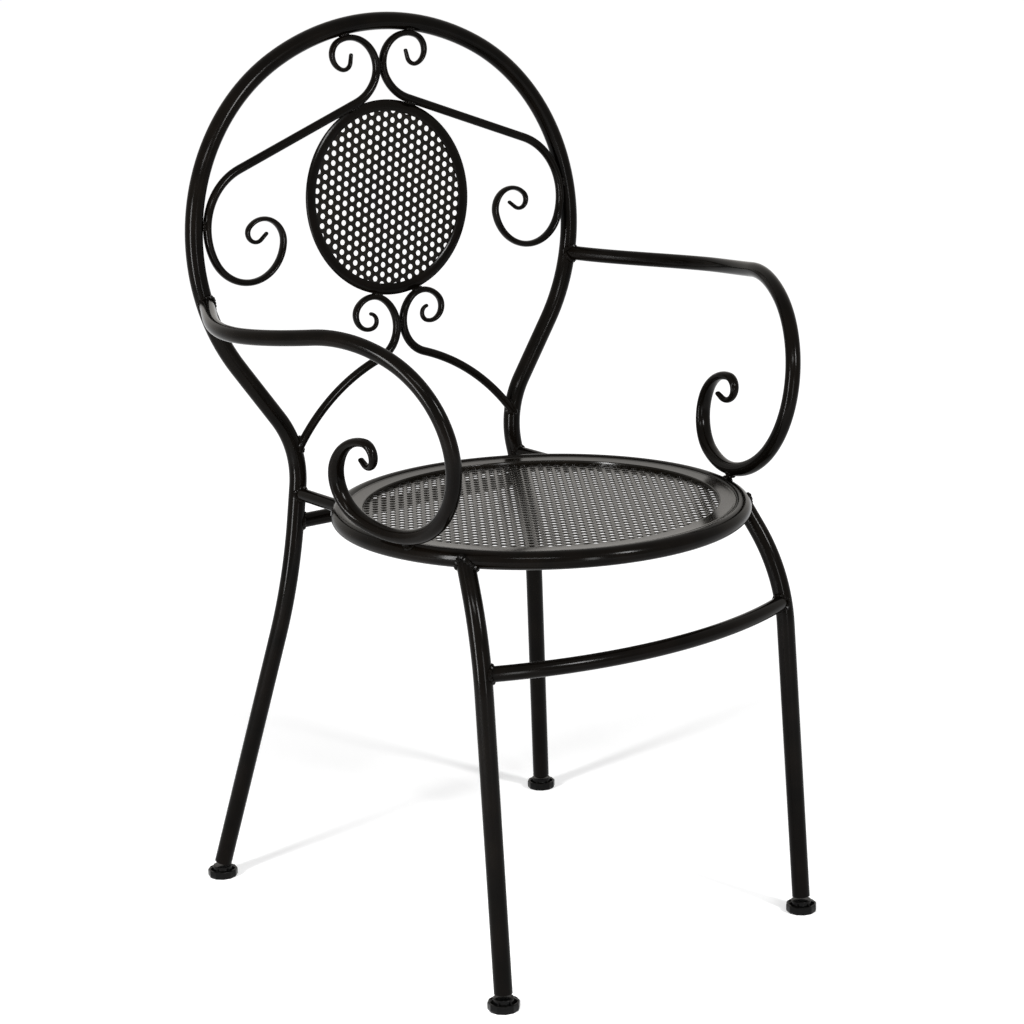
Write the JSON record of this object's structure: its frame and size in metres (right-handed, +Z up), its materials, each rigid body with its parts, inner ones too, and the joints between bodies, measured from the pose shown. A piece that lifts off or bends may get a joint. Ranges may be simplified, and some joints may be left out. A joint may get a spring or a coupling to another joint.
{
  "type": "garden armchair",
  "caption": "Black metal patio armchair with a hoop back, forged scrolls, a perforated medallion, curled arms and a round perforated seat.",
  "frame": {"origin": "on the floor, under the middle of the chair's bounding box", "axes": "+Z up, the chair faces -Y, X runs from left to right as seen from the front"},
  "size_m": [0.617, 0.5476, 0.9444],
  "materials": {
    "black_coating": "satin black powder coat with a faint brown tint",
    "perforated_sheet": "satin black powder coat on perforated steel sheet",
    "glide_plastic": "dull black moulded plastic"
  },
  "bodies": {
    "root": {"back_frame": "black_coating", "seat_ring": "black_coating", "seat_rim": "black_coating", "seat_mesh": "perforated_sheet", "front_leg_left": "black_coating", "front_leg_right": "black_coating", "front_stretcher": "black_coating", "rear_crossbar": "black_coating", "seat_bracket_left": "black_coating", "seat_bracket_right": "black_coating", "arm_left": "black_coating", "arm_right": "black_coating", "arm_stub_left": "black_coating", "arm_stub_right": "black_coating", "upper_scroll_left": "black_coating", "upper_scroll_right": "black_coating", "lower_scroll_left": "black_coating", "lower_scroll_right": "black_coating", "medallion_ring": "black_coating", "medallion_mesh": "perforated_sheet", "glide_front_left": "glide_plastic", "glide_front_right": "glide_plastic", "glide_rear_left": "glide_plastic", "glide_rear_right": "glide_plastic"}
  },
  "joints": []
}
